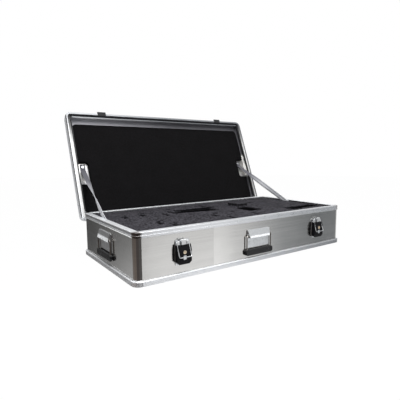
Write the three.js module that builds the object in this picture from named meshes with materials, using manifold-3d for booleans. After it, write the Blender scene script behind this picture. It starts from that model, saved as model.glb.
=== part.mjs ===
// Aluminium transport case: a shallow riveted sheet tub and lid with extruded rims, foam fillings,
// two sprung latches, three drop handles and two webbing lid straps. The lid stands open on its straps.
// Millimetres, +X right along the front, +Y to the back, +Z up, origin under the middle of the base.
import * as THREE from 'three';
import { mergeVertices } from 'three/addons/utils/BufferGeometryUtils.js';
import Module from 'manifold-3d';

const wasm = await Module();
wasm.setup();

// Overall sizes, over the foot frame and up to the rim's top face
const LENGTH = 1200;
const WIDTH = 600;
const BASE_HEIGHT = 200;
const LID_DEPTH = 52;
const OPEN_ANGLE = 111.4;

// Sheet and extrusions
const SHEET = 1.5;
const CORNER_RADIUS = 25;
const CORNER_STEPS = 4;
const FOOT_PROUD = 9;
const RIM_PROUD = 3;
const FIT = 0.3;
const LID_GAP = 2;

const WALL_X = LENGTH / 2 - FOOT_PROUD;
const WALL_Y = WIDTH / 2 - FOOT_PROUD;

// Foot frame section
const FOOT_HEIGHT = 21;
const FOOT_LEDGE = 18;
const FOOT_THICKNESS = 2.4;
const FOOT_BEAD = 4.8;

// Rim section, the same height on the tub and on the lid
const RIM_HEIGHT = 22;
const RIM_WIDTH = 26;
const RIM_WEB = 2.4;
const RIM_LEG = 1.8;
const RIM_INNER_DROP = 26;
const RIM_GROOVE = 1.6;
const RIM_GROOVE_DEPTH = 1.2;
const RIM_GROOVE_DROP = 11.6;
const FIN_HEIGHT = 11;

// Lid frame section
const FLANGE_WIDTH = 10;
const SEAL_WIDTH = 15;
const SEAL_DEPTH = 7;
const LIP_WIDTH = 3;
const LIP_SETBACK = 1.5;
const LIP_LEG = 12;
const LID_EDGE_RADIUS = 9;
const FIELD_INSET = 95;
const FIELD_RISE = 1.5;

// Foam fillings
const FOAM_SIDE_GAP = 8;
const FOAM_BELOW_RIM = 14;
const BOTTOM_PAD = 20;
const BLOCK_RISE = 26;
const LID_FOAM_THICKNESS = 25;
const LID_FOAM_SIDE = 28;
const LID_FOAM_FRONT = 53;
const LID_FOAM_BACK = 39;
const LID_FOAM_RADIUS = 25;
const NOTCH_WIDTH = 55;
const NOTCH_FRONT = -20;
const NOTCH_BACK = 100;
const NOTCH_RADIUS = 14;

// Hinges
const HINGE_SPACING = LENGTH / 3;
const HINGE_WIDTH = 60;
const HINGE_BEHIND_WALL = 7;
const HINGE_BELOW_RIM = 34;
const KNUCKLE_RADIUS = 5;
const KNUCKLE_SHARE = 0.33;
const PIN_RADIUS = 2.5;
const LEAF = 2;
const LEAF_LENGTH = 54;
const LID_LEAF_LENGTH = 70;
const RIVET_RADIUS = 3;
const RIVET_RISE = 1.4;

// Handles
const HANDLE_WIRE = 3;
const HANDLE_ARM = 71;
const HANDLE_BEND = 5;
const HANDLE_AXLE_Z = 119;
const HANDLE_AXLE_OUT = 7.6;
const HANDLE_GRIP_Z = 46;
const GRIP_LENGTH = 156;
const GRIP_HEIGHT = 30;
const GRIP_THICKNESS = 13;
const BRACKET_WIDTH = 130;
const BRACKET_TOP = 146;
const BRACKET_BOTTOM = 66;
const BRACKET_RIVET_Z = 94;
const BRACKET_SHEET = 2;
const HOOD_LIP_Z = 110;
const HOOD_LIP_OUT = 14.5;
const SIDE_HANDLE_RAISE = 12;
const SIDE_HANDLE_Y = 8;

// Latches
const LATCH_SPACING = LENGTH / 3 - 2;
const LATCH_HALF = 31;
const LATCH_TOP = 153;
const LATCH_BOTTOM = 52;
const LATCH_SHEET = 2;
const CHEEK_IN = 10.5;
const CHEEK_TOP = 155.5;
const CHEEK_BOTTOM = 130;
const CHEEK_OUT = 17;
const LEVER_HALF = 31.5;
const LEVER_TOP = 134;
const LEVER_BOTTOM = 56;
const LEVER_BACK = 2.8;
const LEVER_FRONT = 22;
const LEVER_WALL = 3;
const LEVER_PIN_Z = 150.5;
const LEVER_PIN_OUT = 12.5;
const LEVER_PIN_RADIUS = 2;
const LEVER_CHAMFER = 12;
const TONGUE_BOSS = 4.6;
const RIB_IN = 17;
const RIB_BOSS = 4;
const BAIL_WIRE = 1.75;
const BAIL_ARM = 26.8;
const BAIL_SLOT = 2.5;
const BAIL_PIVOT_Z = 144;
const BAIL_PIVOT_OUT = 7.5;
const BAIL_LENGTH = 60.5;
const BAIL_REST_TILT = 20.3;
const BAIL_BEND = 3.5;
const LOCK_Z = 105;
const LOCK_RADIUS = 7;
const LOCK_PROUD = 1.6;
const TAB_WIDTH = 13;
const TAB_Z = 84.5;
const TAB_HEIGHT = 16;
const TAB_SHEET = 1.2;

// Keepers on the lid
const KEEPER_HALF = 23;
const KEEPER_OUT = 5.7;
const KEEPER_TOP = 240;
const KEEPER_FOOT = 10;
const HOOK_SHEET = 2;
const HOOK_OUT = 12.4;
const HOOK_LIP = 1.5;
const HOOK_LIP_RISE = 3.5;

// Lid straps
const STRAP_WIDTH = 28;
const STRAP_THICKNESS = 1.8;
const STRAP_STATIONS = 20;
const STRAP_LID_X = WALL_X - 57;
const STRAP_LID_Y = 0;
const STRAP_BASE_Y = 64;
const STRAP_BASE_Z = BASE_HEIGHT - 14;
const EYELET_RADIUS = 8;
const EYELET_SHANK = 3;

const radians = THREE.MathUtils.degToRad;

const ALUMINIUM = { color: 0xb9babb, metalness: 0.9, roughness: 0.35 };
const RIM_ALUMINIUM = { color: 0xc9cacc, metalness: 0.9, roughness: 0.28 };
const ZINC = { color: 0xc2c4c6, metalness: 0.85, roughness: 0.3 };
const DARK_STEEL = { color: 0x2b2b2d, metalness: 0.6, roughness: 0.45 };
const BLACK_PLASTIC = { color: 0x18181a, metalness: 0, roughness: 0.45 };
const BRASS = { color: 0xc9ae84, metalness: 0.85, roughness: 0.3 };
const RUBBER = { color: 0xa4a6a8, metalness: 0, roughness: 0.8 };
const BASE_FOAM = { color: 0x45454a, metalness: 0, roughness: 1 };
const LID_FOAM = { color: 0x17171a, metalness: 0, roughness: 1 };
const WEBBING = { color: 0xc4c6ca, metalness: 0, roughness: 0.7 };

function mesh(name, geometry, finish) {
  const part = new THREE.Mesh(geometry, new THREE.MeshStandardMaterial(finish));
  part.name = name;
  return part;
}

// Solids from geometries, and back, for cuts and joins
function solid(geometry) {
  const bare = geometry.clone();
  bare.deleteAttribute('normal');
  bare.deleteAttribute('uv');
  const welded = facingOut(mergeVertices(bare, 1e-4));
  return new wasm.Manifold(new wasm.Mesh({
    numProp: 3,
    vertProperties: new Float32Array(welded.attributes.position.array),
    triVerts: new Uint32Array(welded.index.array),
  }));
}

function fromSolid(body) {
  const data = body.getMesh();
  const geometry = new THREE.BufferGeometry();
  geometry.setAttribute('position', new THREE.BufferAttribute(new Float32Array(data.vertProperties), 3));
  geometry.setIndex(new THREE.BufferAttribute(new Uint32Array(data.triVerts), 1));
  return geometry;
}

function join(geometries) {
  return geometries.map(solid).reduce((whole, next) => whole.add(next));
}

function cut(body, geometries) {
  return geometries.map(solid).reduce((whole, next) => whole.subtract(next), body);
}

function box(x0, x1, y0, y1, z0, z1) {
  const geometry = new THREE.BoxGeometry(x1 - x0, y1 - y0, z1 - z0);
  return geometry.translate((x0 + x1) / 2, (y0 + y1) / 2, (z0 + z1) / 2);
}

// A rod along X between two stations
function rodX(radius, x0, x1, y, z, sides = 12) {
  const rod = new THREE.CylinderGeometry(radius, radius, x1 - x0, sides);
  return rod.rotateZ(Math.PI / 2).translate((x0 + x1) / 2, y, z);
}

// A rod along Y between two stations
function rodY(radius, y0, y1, x, z, sides = 16) {
  const rod = new THREE.CylinderGeometry(radius, radius, y1 - y0, sides);
  return rod.translate(x, (y0 + y1) / 2, z);
}

// A low domed rivet head whose flat side lies at y, domed towards -Y, or +Y when turned
function rivetY(x, y, z, turned = false) {
  const dome = [
    new THREE.Vector2(0, -0.6),
    new THREE.Vector2(RIVET_RADIUS, -0.6),
    new THREE.Vector2(RIVET_RADIUS, 0.3),
    new THREE.Vector2(RIVET_RADIUS * 0.7, RIVET_RISE * 0.8),
    new THREE.Vector2(0, RIVET_RISE),
  ];
  const head = new THREE.LatheGeometry(dome, 6);
  return head.rotateX(turned ? 0 : Math.PI).translate(x, y, z);
}

// A solid whose (y, z) outline runs along X from x0 to x1
function extrudeAlongX(points, x0, x1) {
  const shape = new THREE.Shape(points.map(([y, z]) => new THREE.Vector2(y, z)));
  const geometry = new THREE.ExtrudeGeometry(shape, { depth: x1 - x0, bevelEnabled: false });
  geometry.applyMatrix4(new THREE.Matrix4().makeBasis(
    new THREE.Vector3(0, 1, 0), new THREE.Vector3(0, 0, 1), new THREE.Vector3(1, 0, 0)));
  return geometry.translate(x0, 0, 0);
}

// A solid whose (x, z) outline runs along Y from y0 to y1
function extrudeAlongY(shape, y0, y1) {
  const geometry = new THREE.ExtrudeGeometry(shape, { depth: y1 - y0, bevelEnabled: false, curveSegments: 3 });
  return geometry.rotateX(Math.PI / 2).translate(0, y1, 0);
}

function extrudeUp(shape, z0, z1) {
  const geometry = new THREE.ExtrudeGeometry(shape, { depth: z1 - z0, bevelEnabled: false, curveSegments: 3 });
  return geometry.translate(0, 0, z0);
}

function roundedRectangle(x0, x1, y0, y1, radius) {
  const shape = new THREE.Shape();
  shape.moveTo(x0 + radius, y0);
  shape.lineTo(x1 - radius, y0);
  shape.absarc(x1 - radius, y0 + radius, radius, -Math.PI / 2, 0);
  shape.lineTo(x1, y1 - radius);
  shape.absarc(x1 - radius, y1 - radius, radius, 0, Math.PI / 2);
  shape.lineTo(x0 + radius, y1);
  shape.absarc(x0 + radius, y1 - radius, radius, Math.PI / 2, Math.PI);
  shape.lineTo(x0, y0 + radius);
  shape.absarc(x0 + radius, y0 + radius, radius, Math.PI, Math.PI * 1.5);
  return shape;
}

// One turn round the case wall, moved outward by offset: the path of every extruded section
function wallRing(offset) {
  const radius = Math.max(CORNER_RADIUS + offset, 2);
  const x = WALL_X + offset - radius;
  const y = WALL_Y + offset - radius;
  const ring = [];
  [[x, y], [-x, y], [-x, -y], [x, -y]].forEach(([cx, cy], quarter) => {
    for (let step = 0; step <= CORNER_STEPS; step++) {
      const angle = (quarter + step / CORNER_STEPS) * Math.PI / 2;
      ring.push([cx + radius * Math.cos(angle), cy + radius * Math.sin(angle)]);
    }
  });
  return ring;
}

function isClockwise(section) {
  let area = 0;
  section.forEach(([o, z], k) => {
    const [nextO, nextZ] = section[(k + 1) % section.length];
    area += o * nextZ - nextO * z;
  });
  return area < 0;
}

function geometryOf(positions, triangles) {
  const geometry = new THREE.BufferGeometry();
  geometry.setAttribute('position', new THREE.Float32BufferAttribute(positions, 3));
  geometry.setIndex(triangles);
  return geometry;
}

// A closed section of (outward offset, height) points, bent round the case wall and mitred shut
function sectionRoundWall(section) {
  const points = isClockwise(section) ? [...section].reverse() : section;
  const rings = points.map(([offset]) => wallRing(offset));
  const stations = rings[0].length;
  const positions = [];
  const triangles = [];
  points.forEach(([, z], j) => rings[j].forEach(([x, y]) => positions.push(x, y, z)));
  for (let j = 0; j < points.length; j++) {
    const above = (j + 1) % points.length;
    for (let i = 0; i < stations; i++) {
      const next = (i + 1) % stations;
      const [a, b] = [j * stations + i, j * stations + next];
      const [c, d] = [above * stations + next, above * stations + i];
      triangles.push(a, b, c, a, c, d);
    }
  }
  return geometryOf(positions, triangles);
}

// A pressed sheet: the section starts on the lower face and ends on the upper one, and both are filled in
function pressedPanel(section) {
  const rings = section.map(([offset]) => wallRing(offset));
  const stations = rings[0].length;
  const positions = [];
  const triangles = [];
  section.forEach(([, z], j) => rings[j].forEach(([x, y]) => positions.push(x, y, z)));
  const lower = section.length * stations;
  positions.push(0, 0, section[0][1], 0, 0, section[section.length - 1][1]);
  for (let i = 0; i < stations; i++) {
    const next = (i + 1) % stations;
    const last = (section.length - 1) * stations;
    triangles.push(lower, next, i, lower + 1, last + i, last + next);
    for (let j = 0; j + 1 < section.length; j++) {
      const [a, b] = [j * stations + i, j * stations + next];
      const [c, d] = [(j + 1) * stations + next, (j + 1) * stations + i];
      triangles.push(a, b, c, a, c, d);
    }
  }
  return geometryOf(positions, triangles);
}

function arc(centre, radius, fromDegrees, toDegrees, steps) {
  return Array.from({ length: steps + 1 }, (_, k) => {
    const angle = radians(fromDegrees + (toDegrees - fromDegrees) * k / steps);
    return [centre[0] + radius * Math.cos(angle), centre[1] + radius * Math.sin(angle)];
  });
}

// Round wire bent along straight runs with equal corner bends
function bentWire(corners, bend, radius, sides = 6) {
  const path = new THREE.CurvePath();
  const points = corners.map((corner) => new THREE.Vector3(...corner));
  let from = points[0];
  for (let k = 1; k + 1 < points.length; k++) {
    const back = points[k - 1].clone().sub(points[k]).normalize();
    const on = points[k + 1].clone().sub(points[k]).normalize();
    const trim = bend / Math.tan(back.angleTo(on) / 2);
    const enter = points[k].clone().addScaledVector(back, trim);
    const leave = points[k].clone().addScaledVector(on, trim);
    path.add(new THREE.LineCurve3(from, enter));
    path.add(new THREE.QuadraticBezierCurve3(enter, points[k], leave));
    from = leave;
  }
  path.add(new THREE.LineCurve3(from, points[points.length - 1]));
  const stops = [path.curves[0].getPoint(0)];
  path.curves.forEach((run) => {
    const steps = run.isLineCurve3 ? 1 : 3;
    for (let k = 1; k <= steps; k++) stops.push(run.getPoint(k / steps));
  });
  return sweptPolygon(stops, radius, sides);
}

// A round section carried along a polyline that lies in one plane, with its joints mitred
function sweptPolygon(stops, radius, sides) {
  const normal = new THREE.Vector3();
  for (let k = 1; k + 1 < stops.length && normal.lengthSq() < 1e-6; k++) {
    normal.crossVectors(stops[k].clone().sub(stops[k - 1]), stops[k + 1].clone().sub(stops[k]));
  }
  normal.normalize();
  const positions = [];
  const triangles = [];
  stops.forEach((stop, k) => {
    const back = k > 0 ? stop.clone().sub(stops[k - 1]).normalize() : null;
    const on = k + 1 < stops.length ? stops[k + 1].clone().sub(stop).normalize() : null;
    const along = back && on ? back.clone().add(on).normalize() : (on ?? back).clone();
    const widen = back && on ? 1 / along.dot(on) : 1;
    const across = new THREE.Vector3().crossVectors(normal, along).normalize();
    for (let s = 0; s < sides; s++) {
      const angle = (s + 0.5) * 2 * Math.PI / sides;
      const point = stop.clone()
        .addScaledVector(across, radius * Math.cos(angle) * widen)
        .addScaledVector(normal, radius * Math.sin(angle));
      positions.push(point.x, point.y, point.z);
    }
  });
  for (let k = 0; k + 1 < stops.length; k++) {
    for (let s = 0; s < sides; s++) {
      const next = (s + 1) % sides;
      const [a, b] = [k * sides + s, k * sides + next];
      const [c, d] = [(k + 1) * sides + next, (k + 1) * sides + s];
      triangles.push(a, b, c, a, c, d);
    }
  }
  const last = (stops.length - 1) * sides;
  for (let s = 1; s + 1 < sides; s++) {
    triangles.push(0, s + 1, s, last, last + s, last + s + 1);
  }
  return facingOut(geometryOf(positions, triangles));
}

// Turns a closed body's faces outward when its winding came out reversed
function facingOut(geometry) {
  const position = geometry.attributes.position;
  const index = geometry.index.array;
  let volume = 0;
  const [a, b, c] = [new THREE.Vector3(), new THREE.Vector3(), new THREE.Vector3()];
  for (let k = 0; k < index.length; k += 3) {
    a.fromBufferAttribute(position, index[k]);
    b.fromBufferAttribute(position, index[k + 1]);
    c.fromBufferAttribute(position, index[k + 2]);
    volume += a.dot(b.clone().cross(c));
  }
  if (volume < 0) {
    for (let k = 0; k < index.length; k += 3) {
      [index[k + 1], index[k + 2]] = [index[k + 2], index[k + 1]];
    }
  }
  return geometry;
}

// Tub: foot frame, floor, wall and rim
function footFrame() {
  const beadCentre = [FOOT_PROUD - FOOT_BEAD, FOOT_HEIGHT - FOOT_BEAD];
  const bead = arc(beadCentre, FOOT_BEAD, -33, 144, 6);
  return sectionRoundWall([
    [-FOOT_LEDGE, 0],
    [bead[0][0] - 0.8, 0],
    [bead[0][0], 0.8],
    ...bead,
    [FIT, bead[bead.length - 1][1] - 0.4],
    [FIT, FOOT_THICKNESS],
    [-FOOT_LEDGE, FOOT_THICKNESS],
  ]);
}

function tubWall() {
  const bottom = FOOT_THICKNESS + FIT;
  const top = BASE_HEIGHT - RIM_WEB - 2 * FIT;
  return sectionRoundWall([
    [-FOOT_LEDGE + 2, bottom],
    [0, bottom],
    [0, top],
    [-SHEET, top],
    [-SHEET, bottom + SHEET],
    [-FOOT_LEDGE + 2, bottom + SHEET],
  ]);
}

// The floor sheet's edge lies on the wall's flange, and its field is pressed down flush with the foot
function floorPanel() {
  const edge = FOOT_THICKNESS + SHEET + 2 * FIT;
  const field = -FOOT_LEDGE - 5;
  return pressedPanel([
    [field - 2, 0],
    [field, 0],
    [-FOOT_LEDGE + 1, edge],
    [-SHEET - FIT, edge],
    [-SHEET - FIT, edge + SHEET],
    [-FOOT_LEDGE, edge + SHEET],
    [field - 1, SHEET],
    [field - 2, SHEET],
  ]);
}

// The outer face of a rim, from its lower end upward, with the shadow groove along it
function rimFace(low, high, groove) {
  const half = RIM_GROOVE / 2;
  return [
    [FIT, low],
    [RIM_PROUD - 0.8, low],
    [RIM_PROUD, low + 0.8],
    [RIM_PROUD, groove - half - RIM_GROOVE_DEPTH],
    [RIM_PROUD - RIM_GROOVE_DEPTH, groove - half],
    [RIM_PROUD - RIM_GROOVE_DEPTH, groove + half],
    [RIM_PROUD, groove + half + RIM_GROOVE_DEPTH],
    [RIM_PROUD, high - 1.2],
    [RIM_PROUD - 1.2, high],
  ];
}

function tubRim() {
  const top = BASE_HEIGHT;
  const inner = RIM_PROUD - RIM_WIDTH;
  const web = top - RIM_WEB;
  return sectionRoundWall([
    ...rimFace(top - RIM_HEIGHT, top, top - RIM_GROOVE_DROP),
    [inner + 1, top],
    [inner, top - 1],
    [inner, top - RIM_INNER_DROP],
    [inner + RIM_LEG, top - RIM_INNER_DROP],
    [inner + RIM_LEG, web],
    [-SHEET - FIT - RIM_LEG, web],
    [-SHEET - FIT - RIM_LEG, web - FIN_HEIGHT],
    [-SHEET - FIT, web - FIN_HEIGHT],
    [-SHEET - FIT, web - FIT],
    [FIT, web - FIT],
  ]);
}

// Lid, drawn shut: its flange lies LID_GAP above the tub's rim
const FLANGE_Z = BASE_HEIGHT + LID_GAP;
const LID_TOP = FLANGE_Z + LID_DEPTH;
const LID_CEILING = LID_TOP - FIELD_RISE - SHEET;

function lidFrame() {
  const grooveOuter = RIM_PROUD - FLANGE_WIDTH;
  const grooveInner = grooveOuter - SEAL_WIDTH;
  const lipInner = grooveInner - LIP_WIDTH;
  const roof = FLANGE_Z + SEAL_DEPTH;
  const lipZ = FLANGE_Z + LIP_SETBACK;
  const face = rimFace(0, RIM_HEIGHT, RIM_HEIGHT - RIM_GROOVE_DROP).map(([o, z]) => [o, FLANGE_Z + RIM_HEIGHT - z]);
  return sectionRoundWall([
    ...face,
    [grooveOuter, FLANGE_Z],
    [grooveOuter, roof],
    [grooveInner, roof],
    [grooveInner, lipZ],
    [lipInner + 0.8, lipZ],
    [lipInner, lipZ + 0.8],
    [lipInner, FLANGE_Z + LIP_LEG],
    [lipInner + RIM_LEG, FLANGE_Z + LIP_LEG],
    [lipInner + RIM_LEG, roof + RIM_LEG],
    [grooveOuter + RIM_LEG, roof + RIM_LEG],
    [grooveOuter + RIM_LEG, FLANGE_Z + RIM_WEB],
    [-SHEET - FIT - RIM_LEG, FLANGE_Z + RIM_WEB],
    [-SHEET - FIT - RIM_LEG, FLANGE_Z + RIM_WEB + FIN_HEIGHT],
    [-SHEET - FIT, FLANGE_Z + RIM_WEB + FIN_HEIGHT],
    [-SHEET - FIT, FLANGE_Z + RIM_WEB + FIT],
    [FIT, FLANGE_Z + RIM_WEB + FIT],
  ]);
}

function lidSeal() {
  const outer = RIM_PROUD - FLANGE_WIDTH - FIT;
  const inner = RIM_PROUD - FLANGE_WIDTH - SEAL_WIDTH + FIT;
  const roof = FLANGE_Z + SEAL_DEPTH - FIT;
  const lips = FLANGE_Z - LID_GAP + 2 * FIT;
  return sectionRoundWall([
    [inner, roof],
    [inner, FLANGE_Z + 1.5],
    [inner + 4, FLANGE_Z + 0.5],
    [inner + 6, lips],
    [outer - 6, lips],
    [outer - 4, FLANGE_Z + 0.5],
    [outer, FLANGE_Z + 1.5],
    [outer, roof],
  ]);
}

function lidShell() {
  const wallBottom = FLANGE_Z + RIM_WEB + 2 * FIT;
  const border = LID_TOP - FIELD_RISE;
  const outerBend = arc([-LID_EDGE_RADIUS, border - LID_EDGE_RADIUS], LID_EDGE_RADIUS, 0, 90, 5);
  const innerBend = arc([-LID_EDGE_RADIUS, border - LID_EDGE_RADIUS], LID_EDGE_RADIUS - SHEET, 90, 0, 5);
  return pressedPanel([
    [-FIELD_INSET - 4, LID_TOP - SHEET],
    [-FIELD_INSET, border - SHEET],
    ...innerBend,
    [-SHEET, wallBottom],
    [0, wallBottom],
    ...outerBend,
    [-FIELD_INSET, border],
    [-FIELD_INSET - 4, LID_TOP],
  ]);
}

// Foam
const FOAM_X = WALL_X + RIM_PROUD - RIM_WIDTH - FOAM_SIDE_GAP;
const FOAM_Y = WALL_Y + RIM_PROUD - RIM_WIDTH - FOAM_SIDE_GAP;
const FOAM_TOP = BASE_HEIGHT - FOAM_BELOW_RIM;
const FOAM_FLOOR = SHEET + FIT;
const ALONG = LENGTH / 1200;
const ACROSS = WIDTH / 600;

// Cut pockets as [x, y, length, width, depth]: the long tool slot, its side pocket and the pocket at the
// right end. Their plan follows the case's length and width.
const POCKETS = [
  [-82, 105, 250, 34, 70],
  [148, -60, 84, 120, 70],
  [442, -174, 200, 62, 60],
].map(([x, y, length, width, depth]) => [x * ALONG, y * ACROSS, length * ALONG, width * ACROSS, depth]);
// The single cubes pulled out of the grid
const PULLED_CUBES = [
  [-462, 107], [-362, 138], [-393, -102], [-360, -184], [-205, 160], [-81, -77], [25, -81], [318, 120],
].map(([x, y]) => [x * ALONG, y * ACROSS]);
const CUBE = 20;
const CUBE_DEPTH = 22;
const BLOCK = [164 * ALONG, 47 * ACROSS, 72 * ALONG, 86 * ACROSS];

function baseFoamPad() {
  return extrudeUp(roundedRectangle(-FOAM_X, FOAM_X, -FOAM_Y, FOAM_Y, 20), FOAM_FLOOR, FOAM_FLOOR + BOTTOM_PAD);
}

function foamInsert() {
  const bottom = FOAM_FLOOR + BOTTOM_PAD + FIT;
  const slab = extrudeUp(roundedRectangle(-FOAM_X, FOAM_X, -FOAM_Y, FOAM_Y, 20), bottom, FOAM_TOP);
  const [blockX, blockY, blockLength, blockWidth] = BLOCK;
  const block = extrudeUp(roundedRectangle(blockX - blockLength / 2, blockX + blockLength / 2,
    blockY - blockWidth / 2, blockY + blockWidth / 2, 4), FOAM_TOP - 30, FOAM_TOP + BLOCK_RISE);
  const pocketCuts = POCKETS.map(([x, y, length, width, depth]) => extrudeUp(
    roundedRectangle(x - length / 2, x + length / 2, y - width / 2, y + width / 2, 8),
    FOAM_TOP - depth, FOAM_TOP + BLOCK_RISE + 5));
  const cubeCuts = PULLED_CUBES.map(([x, y]) => box(x - CUBE / 2, x + CUBE / 2, y - CUBE / 2, y + CUBE / 2,
    FOAM_TOP - CUBE_DEPTH, FOAM_TOP + 5));
  return fromSolid(cut(join([slab, block]), [...pocketCuts, ...cubeCuts]));
}

// The lid pad, with a notch at each side where the straps are fixed to the lid
function lidFoam() {
  const x = WALL_X - LID_FOAM_SIDE;
  const front = -(WALL_Y - LID_FOAM_FRONT);
  const back = WALL_Y - LID_FOAM_BACK;
  const ceiling = LID_CEILING - FIT;
  const pad = extrudeUp(roundedRectangle(-x, x, front, back, LID_FOAM_RADIUS), ceiling - LID_FOAM_THICKNESS, ceiling);
  const notches = [-1, 1].map((side) => {
    const inner = x - NOTCH_WIDTH;
    const [low, high] = side < 0 ? [-x - 40, -inner] : [inner, x + 40];
    return extrudeUp(roundedRectangle(low, high, NOTCH_FRONT, NOTCH_BACK, NOTCH_RADIUS),
      ceiling - LID_FOAM_THICKNESS - 5, ceiling + 5);
  });
  return fromSolid(cut(solid(pad), notches));
}

// Hinges on the back wall, drawn with the lid shut
const HINGE_Y = WALL_Y + HINGE_BEHIND_WALL;
const HINGE_Z = BASE_HEIGHT - HINGE_BELOW_RIM;

function hingeBaseLeaf(x) {
  const half = HINGE_WIDTH / 2;
  const knuckle = HINGE_WIDTH * KNUCKLE_SHARE;
  const back = WALL_Y + FIT;
  const low = HINGE_Z - LEAF_LENGTH;
  const web = [[back, HINGE_Z - 12], [back + LEAF, HINGE_Z - 12], [HINGE_Y, HINGE_Z - 4], [HINGE_Y, HINGE_Z], [back, HINGE_Z]];
  const ends = [[x - half, x - half + knuckle], [x + half - knuckle, x + half]];
  const pieces = [box(x - half, x + half, back, back + LEAF, low, HINGE_Z - 8)];
  ends.forEach(([x0, x1]) => {
    pieces.push(extrudeAlongX(web, x0, x1), rodX(KNUCKLE_RADIUS, x0, x1, HINGE_Y, HINGE_Z));
  });
  [-1, 1].forEach((side) => [0, 1].forEach((row) => {
    pieces.push(rivetY(x + side * half * 0.6, back + LEAF, low + 10 + row * 22, true));
  }));
  return fromSolid(cut(join(pieces), [rodX(PIN_RADIUS + FIT, x - half - 1, x + half + 1, HINGE_Y, HINGE_Z)]));
}

function hingeLidLeaf(x) {
  const half = HINGE_WIDTH / 2;
  const knuckle = half - HINGE_WIDTH * KNUCKLE_SHARE - FIT;
  const front = WALL_Y + RIM_PROUD + FIT;
  const wide = HINGE_Z + KNUCKLE_RADIUS + 1.4;
  const high = HINGE_Z + LID_LEAF_LENGTH;
  const pieces = [
    box(x - half, x + half, front, front + LEAF, wide, high),
    box(x - knuckle, x + knuckle, front, front + LEAF, HINGE_Z, wide + 1),
    rodX(KNUCKLE_RADIUS, x - knuckle, x + knuckle, HINGE_Y, HINGE_Z),
  ];
  [-1, 1].forEach((side) => [0, 1].forEach((row) => {
    pieces.push(rivetY(x + side * half * 0.6, front + LEAF, high - 8 - row * 14, true));
  }));
  return fromSolid(cut(join(pieces), [rodX(PIN_RADIUS + FIT, x - knuckle - 1, x + knuckle + 1, HINGE_Y, HINGE_Z)]));
}

function hingePin(x) {
  const half = HINGE_WIDTH / 2;
  return fromSolid(join([
    rodX(PIN_RADIUS, x - half - 1, x + half + 1, HINGE_Y, HINGE_Z),
    rodX(PIN_RADIUS + 1.4, x - half - 2.4, x - half - FIT, HINGE_Y, HINGE_Z),
    rodX(PIN_RADIUS + 1.4, x + half + FIT, x + half + 2.4, HINGE_Y, HINGE_Z),
  ]));
}

// Drop handle, drawn on a wall whose outer face is y = 0 with the outside towards -Y
function handleBracket() {
  const half = BRACKET_WIDTH / 2;
  const back = -FIT;
  const front = back - BRACKET_SHEET;
  const plate = extrudeAlongY(roundedRectangle(-half, half, BRACKET_BOTTOM, BRACKET_TOP, 6), front, back);
  const hoodOutside = [
    [back, BRACKET_TOP], [front - 3, BRACKET_TOP - 1], [-HOOD_LIP_OUT, HOOD_LIP_Z + 8],
    [-HOOD_LIP_OUT - 1.5, HOOD_LIP_Z + 3], [-HOOD_LIP_OUT, HOOD_LIP_Z], [back, HOOD_LIP_Z],
  ];
  const hood = extrudeAlongX(hoodOutside, -half, half);
  const taper = new THREE.Shape([
    new THREE.Vector2(-half, BRACKET_TOP), new THREE.Vector2(-half + 8, HOOD_LIP_Z - 1),
    new THREE.Vector2(half - 8, HOOD_LIP_Z - 1), new THREE.Vector2(half, BRACKET_TOP + 1),
    new THREE.Vector2(-half, BRACKET_TOP + 1),
  ]);
  const hollow = extrudeAlongX([
    [front, BRACKET_TOP - 2.6], [front - 2, BRACKET_TOP - 3.4], [-HOOD_LIP_OUT + BRACKET_SHEET, HOOD_LIP_Z + 7],
    [-HOOD_LIP_OUT + BRACKET_SHEET, HOOD_LIP_Z - 1], [front, HOOD_LIP_Z - 1],
  ], -half + 10.5, half - 10.5);
  const shaped = solid(hood).intersect(solid(extrudeAlongY(taper, -HOOD_LIP_OUT - 5, 0)));
  const axleHole = rodX(HANDLE_WIRE + FIT, -half - 1, half + 1, -HANDLE_AXLE_OUT, HANDLE_AXLE_Z);
  const rivets = [-1, 1].flatMap((side) => [
    rivetY(side * (half - 12), front, BRACKET_RIVET_Z),
    rivetY(side * (half - 38), front, BRACKET_RIVET_Z),
  ]);
  const body = cut(solid(plate).add(shaped), [hollow, axleHole]);
  return fromSolid(rivets.map(solid).reduce((whole, next) => whole.add(next), body));
}

// The bail's closed loop of round wire, or the same loop thicker for the tunnel through the grip
function handleLoop(radius) {
  const [y, arm] = [-HANDLE_AXLE_OUT, HANDLE_ARM];
  const halfHeight = (HANDLE_AXLE_Z - HANDLE_GRIP_Z) / 2;
  const loop = roundedRectangle(-arm, arm, -halfHeight, halfHeight, HANDLE_BEND).getPoints(2);
  loop.pop();
  const positions = [];
  const triangles = [];
  const sides = 8;
  loop.forEach((point, k) => {
    const [before, after] = [loop[(k + loop.length - 1) % loop.length], loop[(k + 1) % loop.length]];
    const back = point.clone().sub(before).normalize();
    const on = after.clone().sub(point).normalize();
    const along = back.clone().add(on).normalize();
    const widen = 1 / along.dot(on);
    for (let s = 0; s < sides; s++) {
      const angle = (s + 0.5) * 2 * Math.PI / sides;
      const reach = radius * Math.cos(angle) * widen;
      positions.push(point.x + along.y * reach, y + radius * Math.sin(angle),
        point.y - along.x * reach + HANDLE_GRIP_Z + halfHeight);
    }
    for (let s = 0; s < sides; s++) {
      const [here, there] = [k * sides, (k + 1) % loop.length * sides];
      const next = (s + 1) % sides;
      triangles.push(here + s, here + next, there + next, here + s, there + next, there + s);
    }
  });
  return facingOut(geometryOf(positions, triangles));
}

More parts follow.
